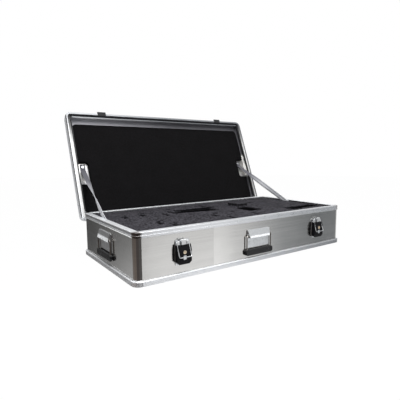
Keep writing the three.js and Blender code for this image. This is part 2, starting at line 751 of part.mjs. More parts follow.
// The moulded grip: a flat bar with rounded ends and a rounded back and front, threaded on the bail
function handleGrip() {
  const outline = roundedRectangle(-GRIP_LENGTH / 2, GRIP_LENGTH / 2,
    HANDLE_GRIP_Z - GRIP_HEIGHT / 2, HANDLE_GRIP_Z + GRIP_HEIGHT / 2, 12);
  const half = GRIP_THICKNESS / 2;
  const slab = extrudeAlongY(outline, -HANDLE_AXLE_OUT - half, -HANDLE_AXLE_OUT + half);
  const section = [
    ...arc([-HANDLE_AXLE_OUT, HANDLE_GRIP_Z + GRIP_HEIGHT / 2 - half], half, 0, 180, 6),
    ...arc([-HANDLE_AXLE_OUT, HANDLE_GRIP_Z - GRIP_HEIGHT / 2 + half], half, 180, 360, 6),
  ];
  const rounded = extrudeAlongX(section, -GRIP_LENGTH / 2 - 1, GRIP_LENGTH / 2 + 1);
  return fromSolid(solid(slab).intersect(solid(rounded)).subtract(solid(handleLoop(HANDLE_WIRE + FIT))));
}

function handle(name) {
  const group = new THREE.Group();
  group.add(mesh(`${name}_handle_bracket`, handleBracket(), ZINC));
  group.add(mesh(`${name}_handle_bail`, handleLoop(HANDLE_WIRE), ZINC));
  group.add(mesh(`${name}_handle_grip`, handleGrip(), BLACK_PLASTIC));
  return group;
}

// Latch, drawn on a wall whose outer face is y = 0 with the outside towards -Y.
// The back plate turns out into two cheeks that carry the lever's pin.
function latchPlate() {
  const back = -FIT;
  const front = back - LATCH_SHEET;
  const plate = extrudeAlongY(roundedRectangle(-LATCH_HALF, LATCH_HALF, LATCH_BOTTOM, LATCH_TOP, 5), front, back);
  const cheekOutline = [
    [front + 0.5, CHEEK_BOTTOM], [-CHEEK_OUT + 1, LEVER_PIN_Z - 4], [-CHEEK_OUT, LEVER_PIN_Z],
    [-CHEEK_OUT + 1, LEVER_PIN_Z + 4], [-CHEEK_OUT + 4, CHEEK_TOP], [front, LATCH_TOP - 1], [front + 0.5, LATCH_TOP - 1],
  ];
  const cheeks = [-1, 1].map((side) => {
    const [x0, x1] = side < 0 ? [-CHEEK_IN - LATCH_SHEET, -CHEEK_IN] : [CHEEK_IN, CHEEK_IN + LATCH_SHEET];
    return extrudeAlongX(cheekOutline, x0, x1);
  });
  const pinHole = rodX(LEVER_PIN_RADIUS + FIT / 2, -LATCH_HALF, LATCH_HALF, -LEVER_PIN_OUT, LEVER_PIN_Z);
  return fromSolid(cut(join([plate, ...cheeks]), [pinHole]));
}

function leverPin() {
  const end = CHEEK_IN + LATCH_SHEET + 1;
  return rodX(LEVER_PIN_RADIUS, -end, end, -LEVER_PIN_OUT, LEVER_PIN_Z);
}

// The moulded lever: a tongue between the cheeks holds the pin, and two ribs beside them hold the bail.
// The bail's arms run in slots that are open to the front and the top.
function latchLever() {
  const half = LEVER_HALF;
  const body = [
    [-LEVER_BACK, LEVER_BOTTOM + 5], [-LEVER_FRONT + 7, LEVER_BOTTOM], [-LEVER_FRONT + 2, LEVER_BOTTOM + 2],
    [-LEVER_FRONT, LEVER_BOTTOM + 12], [-LEVER_FRONT, LEVER_TOP - 22], [-LEVER_FRONT + 6, LEVER_TOP - 4],
    [-LEVER_FRONT + 10, LEVER_TOP], [-LEVER_BACK - 1, LEVER_TOP], [-LEVER_BACK, LEVER_TOP - 2],
  ];
  const outline = new THREE.Shape([
    new THREE.Vector2(-half + LEVER_CHAMFER, LEVER_BOTTOM - 1), new THREE.Vector2(half - LEVER_CHAMFER, LEVER_BOTTOM - 1),
    new THREE.Vector2(half, LEVER_BOTTOM + LEVER_CHAMFER), new THREE.Vector2(half, LEVER_TOP + 1),
    new THREE.Vector2(-half, LEVER_TOP + 1), new THREE.Vector2(-half, LEVER_BOTTOM + LEVER_CHAMFER),
  ]);
  const block = solid(extrudeAlongX(body, -half - 1, half + 1))
    .intersect(solid(extrudeAlongY(outline, -LEVER_FRONT - 1, 0)));
  const tongueHalf = CHEEK_IN - FIT;
  const tongue = extrudeAlongX([
    [-LEVER_PIN_OUT + TONGUE_BOSS, LEVER_TOP - 8], [-LEVER_PIN_OUT - TONGUE_BOSS, LEVER_TOP - 8],
    ...arc([-LEVER_PIN_OUT, LEVER_PIN_Z], TONGUE_BOSS, 180, 0, 6),
  ], -tongueHalf, tongueHalf);
  const cheekSlots = [-1, 1].map((side) => {
    const [near, far] = [CHEEK_IN - FIT, CHEEK_IN + LATCH_SHEET + FIT];
    return box(side < 0 ? -far : near, side < 0 ? -near : far, -LEVER_FRONT - 2, 2, CHEEK_BOTTOM - 5, LEVER_TOP + 5);
  });
  const [ribIn, ribOut] = [RIB_IN, BAIL_ARM - BAIL_SLOT];
  const ribs = [-1, 1].map((side) => {
    const [x0, x1] = side < 0 ? [-ribOut, -ribIn] : [ribIn, ribOut];
    return extrudeAlongX([
      [-BAIL_PIVOT_OUT + RIB_BOSS, LEVER_TOP - 6], [-BAIL_PIVOT_OUT - RIB_BOSS, LEVER_TOP - 6],
      ...arc([-BAIL_PIVOT_OUT, BAIL_PIVOT_Z], RIB_BOSS, 180, 0, 6),
    ], x0, x1);
  });
  const tilt = radians(BAIL_REST_TILT);
  const armSlot = [
    [-BAIL_PIVOT_OUT + 5, BAIL_PIVOT_Z + 6], [-BAIL_PIVOT_OUT + 5, BAIL_PIVOT_Z - 1],
    [-BAIL_PIVOT_OUT + 2.6 * Math.cos(tilt), BAIL_PIVOT_Z - 2.6 * Math.sin(tilt)],
    [-BAIL_PIVOT_OUT + 2.6 * Math.cos(tilt) - 56 * Math.sin(tilt), BAIL_PIVOT_Z - 2.6 * Math.sin(tilt) - 56 * Math.cos(tilt)],
    [-LEVER_FRONT - 12, BAIL_PIVOT_Z + 6],
  ];
  const bailSlots = [-1, 1].map((side) => {
    const [near, far] = [BAIL_ARM - BAIL_SLOT, BAIL_ARM + BAIL_SLOT];
    return extrudeAlongX(armSlot, side < 0 ? -far : near, side < 0 ? -near : far);
  });
  const hollow = [
    box(-half + LEVER_WALL, half - LEVER_WALL, -LEVER_FRONT + LEVER_WALL, 2, LEVER_BOTTOM + 10, LOCK_Z - LOCK_RADIUS - 3),
    box(-tongueHalf + LEVER_WALL, tongueHalf - LEVER_WALL, -LEVER_FRONT + LEVER_WALL + 3, 2,
      LOCK_Z + LOCK_RADIUS + 3, LEVER_TOP - 8),
  ];
  const holes = [
    rodX(LEVER_PIN_RADIUS + FIT, -half - 2, half + 2, -LEVER_PIN_OUT, LEVER_PIN_Z),
    rodX(BAIL_WIRE + FIT, -half - 2, -RIB_IN + 1, -BAIL_PIVOT_OUT, BAIL_PIVOT_Z),
    rodX(BAIL_WIRE + FIT, RIB_IN - 1, half + 2, -BAIL_PIVOT_OUT, BAIL_PIVOT_Z),
    rodY(LOCK_RADIUS + FIT, -LEVER_FRONT - 2, 2, 0, LOCK_Z),
  ];
  const shaped = cut(block, [...cheekSlots]).add(join([tongue, ...ribs]));
  return fromSolid(cut(shaped, [...bailSlots, ...hollow, ...holes]));
}

// The bail hangs from its two ends, turned inward into the lever's ribs, and leans out over the lever
function latchBail() {
  const [arm, end] = [BAIL_ARM, RIB_IN + 1];
  const [y, z] = [-BAIL_PIVOT_OUT, BAIL_PIVOT_Z];
  const low = z - BAIL_LENGTH;
  const bail = bentWire([[-end, y, z], [-arm, y, z], [-arm, y, low], [arm, y, low], [arm, y, z], [end, y, z]],
    BAIL_BEND, BAIL_WIRE);
  return bail.translate(0, -y, -z).rotateX(-radians(BAIL_REST_TILT)).translate(0, y, z);
}

function lockCylinder() {
  const barrel = rodY(LOCK_RADIUS, -LEVER_FRONT - LOCK_PROUD, -LEVER_FRONT + 8, 0, LOCK_Z);
  const rim = rodY(LOCK_RADIUS - 2.2, -LEVER_FRONT - LOCK_PROUD - 1, -LEVER_FRONT - LOCK_PROUD + 1, 0, LOCK_Z);
  const key = box(-0.9, 0.9, -LEVER_FRONT - LOCK_PROUD - 2, -LEVER_FRONT, LOCK_Z - 3.6, LOCK_Z + 3.6);
  const plug = rodY(LOCK_RADIUS - 3, -LEVER_FRONT - LOCK_PROUD + 0.2, -LEVER_FRONT, 0, LOCK_Z);
  return fromSolid(cut(cut(solid(barrel), [rim]).add(solid(plug)), [key]));
}

function latchTab() {
  const shape = roundedRectangle(-TAB_WIDTH / 2, TAB_WIDTH / 2, TAB_Z - TAB_HEIGHT / 2, TAB_Z + TAB_HEIGHT / 2, 2);
  return extrudeAlongY(shape, -LEVER_FRONT - FIT - TAB_SHEET, -LEVER_FRONT - FIT);
}

// The keeper on the lid's front: a plate with a foot under the flange and a hook for the bail
function keeper(x) {
  const [back, front] = [-(WALL_Y + RIM_PROUD + FIT), -(WALL_Y + KEEPER_OUT)];
  const footInner = -(WALL_Y - KEEPER_FOOT);
  const [low, footHigh] = [FLANGE_Z - LID_GAP + 0.5, FLANGE_Z - FIT];
  const hook = -(WALL_Y + HOOK_OUT);
  const ledge = low + HOOK_SHEET;
  const lip = ledge + HOOK_LIP_RISE;
  const section = [
    [back, KEEPER_TOP], [front + 0.8, KEEPER_TOP], [front, KEEPER_TOP - 1], [front, ledge],
    [hook + HOOK_LIP, ledge], [hook + HOOK_LIP, lip], [hook + 0.6, lip], [hook, lip - 0.8],
    [hook, low + 1], [hook + 1, low], [footInner, low], [footInner, footHigh], [back, footHigh],
  ];
  const rivets = [-1, 1].map((side) => rivetY(x + side * KEEPER_HALF * 0.6, front, KEEPER_TOP - 9));
  return fromSolid(join([extrudeAlongX(section, x - KEEPER_HALF, x + KEEPER_HALF), ...rivets]));
}

function latch(name) {
  const group = new THREE.Group();
  group.add(mesh(`${name}_latch_plate`, latchPlate(), ZINC));
  group.add(mesh(`${name}_lever_pin`, leverPin(), ZINC));
  group.add(mesh(`${name}_latch_lever`, latchLever(), BLACK_PLASTIC));
  group.add(mesh(`${name}_latch_bail`, latchBail(), ZINC));
  group.add(mesh(`${name}_lock_cylinder`, lockCylinder(), BRASS));
  group.add(mesh(`${name}_latch_tab`, latchTab(), ZINC));
  return group;
}

// A point of the shut lid, turned about the hinge to where the open lid holds it
function opened([x, y, z]) {
  const turn = radians(OPEN_ANGLE);
  const [dy, dz] = [y - HINGE_Y, z - HINGE_Z];
  return new THREE.Vector3(x, HINGE_Y + dy * Math.cos(turn) + dz * Math.sin(turn),
    HINGE_Z - dy * Math.sin(turn) + dz * Math.cos(turn));
}

// The strap's centre line and its width direction at each station, on the right side of the case
const STRAP_RIM_X = WALL_X + RIM_PROUD - RIM_WIDTH - FIT - STRAP_THICKNESS / 2;
const STRAP_CEILING = LID_CEILING - FIT - STRAP_THICKNESS / 2;

function strapStations() {
  const leave = opened([STRAP_LID_X, STRAP_LID_Y + 16, STRAP_CEILING]);
  const lidEnd = opened([STRAP_LID_X, STRAP_LID_Y - 14, STRAP_CEILING]);
  const rivet = new THREE.Vector3(STRAP_RIM_X, STRAP_BASE_Y, STRAP_BASE_Z);
  const along = new THREE.Vector3(0, leave.y - rivet.y, leave.z - rivet.z).normalize();
  const start = rivet.clone().addScaledVector(along, -13);
  const entry = rivet.clone().addScaledVector(along, 40);
  const upright = new THREE.Vector3(0, -along.z, along.y);
  const sideways = new THREE.Vector3(1, 0, 0);
  const stations = [[start, upright], [entry, upright]];
  for (let k = 1; k < STRAP_STATIONS; k++) {
    const share = k / STRAP_STATIONS;
    const centre = entry.clone().lerp(leave, share);
    const turn = THREE.MathUtils.smoothstep(share, 0.1, 0.95) * Math.PI / 2;
    stations.push([centre, upright.clone().multiplyScalar(Math.cos(turn)).addScaledVector(sideways, Math.sin(turn))]);
  }
  stations.push([leave, sideways], [lidEnd, sideways]);
  return stations;
}

function strap(side) {
  const stations = strapStations();
  const positions = [];
  const triangles = [];
  stations.forEach(([centre, width], k) => {
    const before = stations[Math.max(k - 1, 0)][0];
    const after = stations[Math.min(k + 1, stations.length - 1)][0];
    const lying = k >= stations.length - 2;
    const along = lying ? stations[stations.length - 1][0].clone().sub(stations[stations.length - 2][0]) : after.clone().sub(before);
    along.normalize();
    const flat = width.clone().addScaledVector(along, -width.dot(along)).normalize();
    const face = new THREE.Vector3().crossVectors(along, flat);
    [[-1, -1], [1, -1], [1, 1], [-1, 1]].forEach(([u, v]) => {
      const corner = centre.clone().addScaledVector(flat, u * STRAP_WIDTH / 2).addScaledVector(face, v * STRAP_THICKNESS / 2);
      positions.push(side * corner.x, corner.y, corner.z);
    });
  });
  for (let k = 0; k + 1 < stations.length; k++) {
    for (let s = 0; s < 4; s++) {
      const next = (s + 1) % 4;
      triangles.push(k * 4 + s, k * 4 + next, k * 4 + 4 + next, k * 4 + s, k * 4 + 4 + next, k * 4 + 4 + s);
    }
  }
  const last = (stations.length - 1) * 4;
  triangles.push(0, 2, 1, 0, 3, 2, last, last + 1, last + 2, last, last + 2, last + 3);
  const band = facingOut(geometryOf(positions, triangles));
  const hole = rodY(EYELET_SHANK + FIT, -4, 4, 0, 0, 12);
  const baseHole = hole.clone().rotateZ(Math.PI / 2).translate(side * STRAP_RIM_X, STRAP_BASE_Y, STRAP_BASE_Z);
  const lidHole = hole.rotateX(Math.PI / 2 - radians(OPEN_ANGLE))
    .translate(...opened([side * STRAP_LID_X, STRAP_LID_Y, STRAP_CEILING]).toArray());
  return fromSolid(cut(solid(band), [baseHole, lidHole]));
}

// An eyelet rivet through the strap: shank, washer and domed head, seated at the origin and standing down -Z
function strapEyelet() {
  const under = STRAP_THICKNESS + 2 * FIT;
  const profile = [
    [0, 0], [EYELET_SHANK, 0], [EYELET_SHANK, -under], [EYELET_RADIUS, -under], [EYELET_RADIUS, -under - 0.8],
    [EYELET_RADIUS - 1, -under - 1.4], [EYELET_SHANK + 2, -under - 1.2], [EYELET_SHANK + 1, -under - 2.2], [0, -under - 2.8],
  ];
  return facingOut(mergeVertices(new THREE.LatheGeometry(profile.map(([r, z]) => new THREE.Vector2(r, z)), 12)
    .rotateX(Math.PI / 2).deleteAttribute('normal').deleteAttribute('uv'), 1e-4));
}

// Assembly
const model = new THREE.Group();
model.add(mesh('foot_frame', footFrame(), RIM_ALUMINIUM));
model.add(mesh('tub_wall', tubWall(), ALUMINIUM));
model.add(mesh('floor_panel', floorPanel(), ALUMINIUM));
model.add(mesh('tub_rim', tubRim(), RIM_ALUMINIUM));
model.add(mesh('bottom_foam_pad', baseFoamPad(), BASE_FOAM));
model.add(mesh('foam_insert', foamInsert(), BASE_FOAM));

const lidTurn = new THREE.Group();
lidTurn.position.set(0, HINGE_Y, HINGE_Z);
lidTurn.rotation.x = -radians(OPEN_ANGLE);
const lid = new THREE.Group();
lid.position.set(0, -HINGE_Y, -HINGE_Z);
lidTurn.add(lid);
model.add(lidTurn);
lid.add(mesh('lid_shell', lidShell(), ALUMINIUM));
lid.add(mesh('lid_frame', lidFrame(), RIM_ALUMINIUM));
lid.add(mesh('lid_seal', lidSeal(), RUBBER));
lid.add(mesh('lid_foam', lidFoam(), LID_FOAM));

[['left', -1], ['middle', 0], ['right', 1]].forEach(([name, side]) => {
  const x = side * HINGE_SPACING;
  model.add(mesh(`${name}_hinge_base_leaf`, hingeBaseLeaf(x), ZINC));
  model.add(mesh(`${name}_hinge_pin`, hingePin(x), ZINC));
  lid.add(mesh(`${name}_hinge_lid_leaf`, hingeLidLeaf(x), ZINC));
});

const frontHandle = handle('front');
frontHandle.position.set(0, -WALL_Y, 0);
const leftHandle = handle('left');
leftHandle.position.set(-WALL_X, SIDE_HANDLE_Y, SIDE_HANDLE_RAISE);
leftHandle.rotation.z = -Math.PI / 2;
const rightHandle = handle('right');
rightHandle.position.set(WALL_X, SIDE_HANDLE_Y, SIDE_HANDLE_RAISE);
rightHandle.rotation.z = Math.PI / 2;
model.add(frontHandle, leftHandle, rightHandle);

[['left', -1], ['right', 1]].forEach(([name, side]) => {
  const latchGroup = latch(name);
  latchGroup.position.set(side * LATCH_SPACING, -WALL_Y, 0);
  model.add(latchGroup);
  lid.add(mesh(`${name}_keeper`, keeper(side * LATCH_SPACING), DARK_STEEL));
  model.add(mesh(`${name}_strap`, strap(side), WEBBING));
  const lidEyelet = mesh(`${name}_strap_lid_eyelet`, strapEyelet(), ZINC);
  lidEyelet.position.set(side * STRAP_LID_X, STRAP_LID_Y, LID_CEILING - FIT + 0.05);
  lid.add(lidEyelet);
  const rimEyelet = mesh(`${name}_strap_rim_eyelet`, strapEyelet(), ZINC);
  rimEyelet.position.set(side * (STRAP_RIM_X + STRAP_THICKNESS / 2 + 0.05), STRAP_BASE_Y, STRAP_BASE_Z);
  rimEyelet.rotation.y = side * Math.PI / 2;
  model.add(rimEyelet);
});

export default model;
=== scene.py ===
# An aluminium transport case, open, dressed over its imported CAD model. Metres, in the model's own frame:
# +X right along the front, +Y to the hinged back, +Z up. The lid stands open on its two straps.
import math

import bmesh
import bpy
from mathutils import Matrix, Vector, noise


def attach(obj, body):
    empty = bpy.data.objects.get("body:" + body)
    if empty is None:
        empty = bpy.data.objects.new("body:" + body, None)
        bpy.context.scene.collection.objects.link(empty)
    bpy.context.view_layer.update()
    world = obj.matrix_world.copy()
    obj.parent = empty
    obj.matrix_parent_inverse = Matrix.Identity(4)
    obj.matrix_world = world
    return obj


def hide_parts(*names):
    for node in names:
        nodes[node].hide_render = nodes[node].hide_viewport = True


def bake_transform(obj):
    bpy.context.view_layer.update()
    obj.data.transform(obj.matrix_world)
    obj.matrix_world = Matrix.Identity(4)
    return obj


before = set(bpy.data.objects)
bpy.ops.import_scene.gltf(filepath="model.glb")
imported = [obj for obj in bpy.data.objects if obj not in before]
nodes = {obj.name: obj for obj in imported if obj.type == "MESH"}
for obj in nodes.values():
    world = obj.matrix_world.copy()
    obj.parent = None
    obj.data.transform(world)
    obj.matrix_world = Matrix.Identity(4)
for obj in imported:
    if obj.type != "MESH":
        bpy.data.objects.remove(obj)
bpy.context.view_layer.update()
scene = bpy.context.scene
scene.view_settings.view_transform = "Standard"


# Sheet aluminium of the tub's wall and floor and of the lid: half-hard mill sheet, brushed along the length
# before it is bent round the corners. The finish is satin with long fine streaks, and hands have left faint
# smudges on it.
class Nodes:
    """A node tree, with short calls for the nodes that mix its numbers and colours."""

    def __init__(self, tree):
        self.tree = tree

    def link(self, output, node, socket):
        self.tree.links.new(output, node.inputs[socket])

    def place(self, scale=(1, 1, 1), source="Object"):
        coordinates = self.tree.nodes.new("ShaderNodeTexCoord")
        mapping = self.tree.nodes.new("ShaderNodeMapping")
        mapping.inputs["Scale"].default_value = scale
        self.link(coordinates.outputs[source], mapping, "Vector")
        return mapping.outputs["Vector"]

    def cloud(self, vector, scale, detail=4, roughness=0.5):
        node = self.tree.nodes.new("ShaderNodeTexNoise")
        for socket, value in (("Scale", scale), ("Detail", detail), ("Roughness", roughness)):
            node.inputs[socket].default_value = value
        self.link(vector, node, "Vector")
        return node.outputs["Fac"]

    def cells(self, vector, scale):
        node = self.tree.nodes.new("ShaderNodeTexVoronoi")
        node.inputs["Scale"].default_value = scale
        self.link(vector, node, "Vector")
        return node.outputs["Distance"]

    def spread(self, value, low, high, to_low=0.0, to_high=1.0):
        node = self.tree.nodes.new("ShaderNodeMapRange")
        for socket, number in zip(("From Min", "From Max", "To Min", "To Max"), (low, high, to_low, to_high)):
            node.inputs[socket].default_value = number
        self.link(value, node, "Value")
        return node.outputs["Result"]

    def sum(self, operation, a, b=0.0):
        node = self.tree.nodes.new("ShaderNodeMath")
        node.operation = operation
        for index, value in enumerate((a, b)):
            if isinstance(value, (int, float)):
                node.inputs[index].default_value = value
            else:
                self.tree.links.new(value, node.inputs[index])
        return node.outputs["Value"]

    def both(self, *shares):
        """A mask that needs all of the given ones."""
        product = shares[0]
        for share in shares[1:]:
            product = self.sum("MULTIPLY", product, share)
        return product

    def axis(self, vector, name):
        node = self.tree.nodes.new("ShaderNodeSeparateXYZ")
        self.link(vector, node, "Vector")
        return node.outputs[name]

    def tint(self, factor, dark, light):
        node = self.tree.nodes.new("ShaderNodeMix")
        node.data_type = "RGBA"
        for socket, value in ((6, dark), (7, light)):
            if isinstance(value, tuple):
                node.inputs[socket].default_value = (*value, 1)
            else:
                self.tree.links.new(value, node.inputs[socket])
        self.tree.links.new(factor, node.inputs[0])
        return node.outputs[2]


class Finish(Nodes):
    """A Principled material, with short calls for what colours, dulls and roughens it."""

    def __init__(self, name, color, metallic=0.0, roughness=0.5, **sockets):
        self.material = bpy.data.materials.new(name)
        self.material.use_nodes = True
        super().__init__(self.material.node_tree)
        self.bsdf = self.tree.nodes["Principled BSDF"]
        self.bsdf.inputs["Base Color"].default_value = (*color, 1)
        self.bsdf.inputs["Metallic"].default_value = metallic
        self.bsdf.inputs["Roughness"].default_value = roughness
        for socket, value in sockets.items():
            self.bsdf.inputs[socket.replace("_", " ")].default_value = value
        self.material.diffuse_color = (*color, 1)

    def at(self, letter):
        """The place along X, Y or Z of the piece's own frame."""
        return self.axis(self.place(), letter)

    def off_middle(self, letter):
        return self.sum("ABSOLUTE", self.at(letter))

    def facing(self, towards):
        """How far a face of the piece itself points one way: 1 towards it, -1 away from it."""
        flat = self.tree.nodes.new("ShaderNodeNewGeometry")
        own = self.tree.nodes.new("ShaderNodeVectorTransform")
        own.vector_type = "NORMAL"
        own.convert_from, own.convert_to = "WORLD", "OBJECT"
        self.link(flat.outputs["True Normal"], own, "Vector")
        node = self.tree.nodes.new("ShaderNodeVectorMath")
        node.operation = "DOT_PRODUCT"
        self.link(own.outputs["Vector"], node, 0)
        if isinstance(towards, tuple):
            node.inputs[1].default_value = towards
        else:
            self.link(towards, node, 1)
        return node.outputs["Value"]

    def looks_in(self):
        """1 on the faces that look towards the middle of the open lid, 0 on the others."""
        from_middle = self.place()
        from_middle.node.inputs["Location"].default_value = tuple(-number for number in open_lid_middle)
        return self.spread(self.facing(from_middle), 0.0, -0.01)

    def color(self, output):
        self.link(output, self.bsdf, "Base Color")

    def metal(self, output):
        self.link(output, self.bsdf, "Metallic")

    def rough(self, output):
        self.link(output, self.bsdf, "Roughness")

    def bump(self, height, distance, strength=1.0):
        node = self.tree.nodes.new("ShaderNodeBump")
        node.inputs["Distance"].default_value = distance
        node.inputs["Strength"].default_value = strength
        self.link(height, node, "Height")
        self.link(node.outputs["Normal"], self.bsdf, "Normal")


def shade(color, factor):
    return tuple(min(1.0, channel * factor) for channel in color)


def dress(obj, material):
    obj.data.materials.clear()
    obj.data.materials.append(material)


# Which way is up, which way the open lid's mouth and back face, and where its middle is.
up = (0, 0, 1)
open_lid_mouth = (0, -0.931, 0.365)
open_lid_back = (0, 0.931, -0.365)
open_lid_middle = (0, 0.437, 0.420)
sheet_color = (0.60, 0.595, 0.585)


def brushed(name, roughness):
    sheet = Finish(name, sheet_color, metallic=1.0, roughness=roughness)
    streaks = sheet.cloud(sheet.place((1.2, 1.2, 260)), 1.0, detail=6, roughness=0.65)
    bands = sheet.cloud(sheet.place((0.8, 0.8, 30)), 1.0, detail=3)
    smudges = sheet.cloud(sheet.place(), 5.0, detail=5, roughness=0.6)
    drawn = sheet.sum("ADD", sheet.sum("MULTIPLY", streaks, 0.6), sheet.sum("MULTIPLY", bands, 0.4))
    metal = sheet.tint(sheet.spread(drawn, 0.35, 0.65), shade(sheet_color, 0.93), shade(sheet_color, 1.06))
    dulled = sheet.sum("ADD", sheet.spread(smudges, 0.3, 0.7, roughness - 0.04, roughness + 0.04),
                       sheet.spread(streaks, 0.3, 0.7, -0.02, 0.02))
    sheet.rough(dulled)
    sheet.bump(streaks, 0.00005, 0.6)
    return sheet, metal, smudges


wall_sheet, metal, smudges = brushed("brushed_sheet", 0.17)
along_wall = wall_sheet.at("X")
# Painted reflection: a band of the sheet, sharp-edged at its left and fading out to the right, is painted brighter.
painted_reflection_band = wall_sheet.both(wall_sheet.spread(along_wall, -0.2465, -0.2445),
                            wall_sheet.spread(along_wall, -0.13, -0.225))
wall_sheet.color(wall_sheet.tint(painted_reflection_band, metal, shade(sheet_color, 1.14)))
for name in ("tub_wall", "floor_panel"):
    dress(nodes[name], wall_sheet.material)

# The lid's sheet is satin outside. Inside it is hardly a mirror: it is painted grey with smudges, darker towards
# the right, a painted shade, and near white at the ends, a painted light.
lid_sheet, metal, smudges = brushed("lid_sheet", 0.17)
inside = lid_sheet.looks_in()
up_lid = lid_sheet.at("Z")
# Painted light: the lining is near white at the ends. Painted shade: it is grey elsewhere, darker towards the right.
rubbed_and_lit = lid_sheet.both(lid_sheet.spread(up_lid, 0.32, 0.34), lid_sheet.spread(up_lid, 0.480, 0.465),
                        lid_sheet.spread(lid_sheet.off_middle("X"), 0.49, 0.53))
shaded_lining = lid_sheet.tint(smudges, (0.30, 0.30, 0.33), (0.42, 0.42, 0.45))
shaded_lining = lid_sheet.tint(lid_sheet.spread(lid_sheet.at("X"), -0.45, 0.1), shaded_lining, (0.14, 0.14, 0.155))
lining = lid_sheet.tint(rubbed_and_lit, shaded_lining, (0.88, 0.87, 0.85))
crown = lid_sheet.spread(lid_sheet.facing(open_lid_back), 0.6, 0.9)
satin_side = lid_sheet.tint(smudges, (0.68, 0.70, 0.73), (0.77, 0.79, 0.81))
outside = lid_sheet.tint(crown, satin_side, lid_sheet.tint(smudges, (0.50, 0.51, 0.53), (0.60, 0.61, 0.63)))
lid_sheet.color(lid_sheet.tint(inside, outside, lining))
lining_metal = lid_sheet.both(inside, lid_sheet.spread(rubbed_and_lit, 0, 1, 0.05, 0.9))
satin_metal = lid_sheet.sum("MAXIMUM", lid_sheet.spread(inside, 0, 1, 0.35, 0.05),
                            lid_sheet.spread(crown, 0, 1, 0, 0.9))
lid_sheet.metal(lid_sheet.sum("MAXIMUM", lining_metal, satin_metal))
lid_sheet.rough(lid_sheet.spread(smudges, 0.3, 0.7, 0.34, 0.46))
dress(nodes["lid_shell"], lid_sheet.material)


# Extruded rims of the tub and the lid and the frame under the foot: satin rails, drawn along their length, with
# a shadow groove on the outside. They are mitred, welded at the corner and riveted over the sheet.
rail_color = (0.84, 0.855, 0.88)


def satin(name, metallic, roughness):
    rail = Finish(name, rail_color, metallic=metallic, roughness=roughness)
    scuffs = rail.cloud(rail.place(), 40.0, detail=6, roughness=0.7)
    lines = rail.cloud(rail.place((2, 2, 600)), 1.0, detail=3)
    rail.rough(rail.spread(scuffs, 0.3, 0.75, roughness - 0.02, roughness + 0.05))
    rail.bump(lines, 0.00003, 0.5)
    return rail, rail.tint(rail.spread(scuffs, 0.35, 0.7), shade(rail_color, 0.95), rail_color)


# The tub's rim is painted darker along the top of its front lip towards the right and dark at the corners, both painted
# shade, and bright along the lower lip at the ends, a painted highlight.
rim, metal = satin("satin_rim", 1.0, 0.28)
upward = rim.facing(up)
# Painted shade: the top of the front lip darkens towards the right.
shaded_front_lip = rim.both(rim.spread(upward, 0.3, 0.6), rim.spread(rim.at("Y"), -0.26, -0.28),
                    rim.spread(rim.at("X"), -0.35, 0.1, 0.15, 1.0))
# Painted shade: the rim is painted dark at its corners.
dark_corner_shade = rim.both(rim.spread(rim.off_middle("X"), 0.563, 0.573), rim.spread(rim.off_middle("Y"), 0.263, 0.273),
                rim.spread(upward, 0.5, 0.95, 1.0, 0.6))
# Painted highlight: a bright, matt line along the lower lip at each end.
end_lip_highlight = rim.both(rim.spread(rim.off_middle("X"), 0.592, 0.594), rim.spread(rim.at("Z"), 0.1838, 0.1828),
                   rim.spread(rim.at("Y"), -0.15, 0.2, 1.0, 0.4))
metal = rim.tint(end_lip_highlight, rim.tint(shaded_front_lip, metal, (0.36, 0.37, 0.39)), (0.96, 0.97, 0.98))
rim.color(rim.tint(dark_corner_shade, metal, (0.17, 0.15, 0.14)))
matt_tops_and_highlight = rim.both(rim.spread(upward, 0.3, 0.6, 1.0, 0.35), rim.spread(end_lip_highlight, 0, 1, 1.0, 0.1))
rim.metal(rim.sum("MAXIMUM", dark_corner_shade, matt_tops_and_highlight))
dress(nodes["tub_rim"], rim.material)

foot, metal = satin("satin_foot", 0.55, 0.34)
# Painted shade: the front run of the foot is painted darker towards the right.
shaded_front_run = foot.both(foot.spread(foot.at("Y"), -0.28, -0.29), foot.spread(foot.at("X"), -0.25, 0.75))
foot.color(foot.tint(shaded_front_run, metal, (0.24, 0.25, 0.27)))
corner = foot.both(foot.spread(foot.off_middle("X"), 0.575, 0.590), foot.spread(foot.off_middle("Y"), 0.275, 0.290))
foot.metal(foot.sum("MAXIMUM", corner, foot.spread(foot.facing(up), 0.1, 0.4, 0.85, 0.4)))
dress(nodes["foot_frame"], foot.material)

# The lid's rim has the same face. Its faces towards the mouth are painted darker, except low down at the ends, and its
# inner faces darker towards the right, both painted shade; a black line along its edge and its thin lip at the case's
# ends is a painted shadow.
lid_rim, metal = satin("satin_lid_rim", 0.12, 0.42)
off_middle, height = lid_rim.off_middle("X"), lid_rim.at("Z")
mouthward = lid_rim.facing(open_lid_mouth)
# Painted shade: faces towards the mouth are painted darker, except low down at the ends.
shaded_mouth_faces = lid_rim.sum("MAXIMUM", lid_rim.spread(off_middle, 0.587, 0.582), lid_rim.spread(height, 0.60, 0.68))
metal = lid_rim.tint(lid_rim.both(shaded_mouth_faces, lid_rim.spread(mouthward, 0.6, 0.7, 0, 0.75)), metal, (0.34, 0.35, 0.37))
# Painted shade: the inner faces are painted darker from the left of the middle on to the right.
within = lid_rim.sum("MAXIMUM", lid_rim.spread(mouthward, 0.1, 0.3), lid_rim.looks_in())
metal = lid_rim.tint(lid_rim.both(within, lid_rim.spread(lid_rim.at("X"), -0.45, 0.0)), metal, (0.20, 0.21, 0.225))
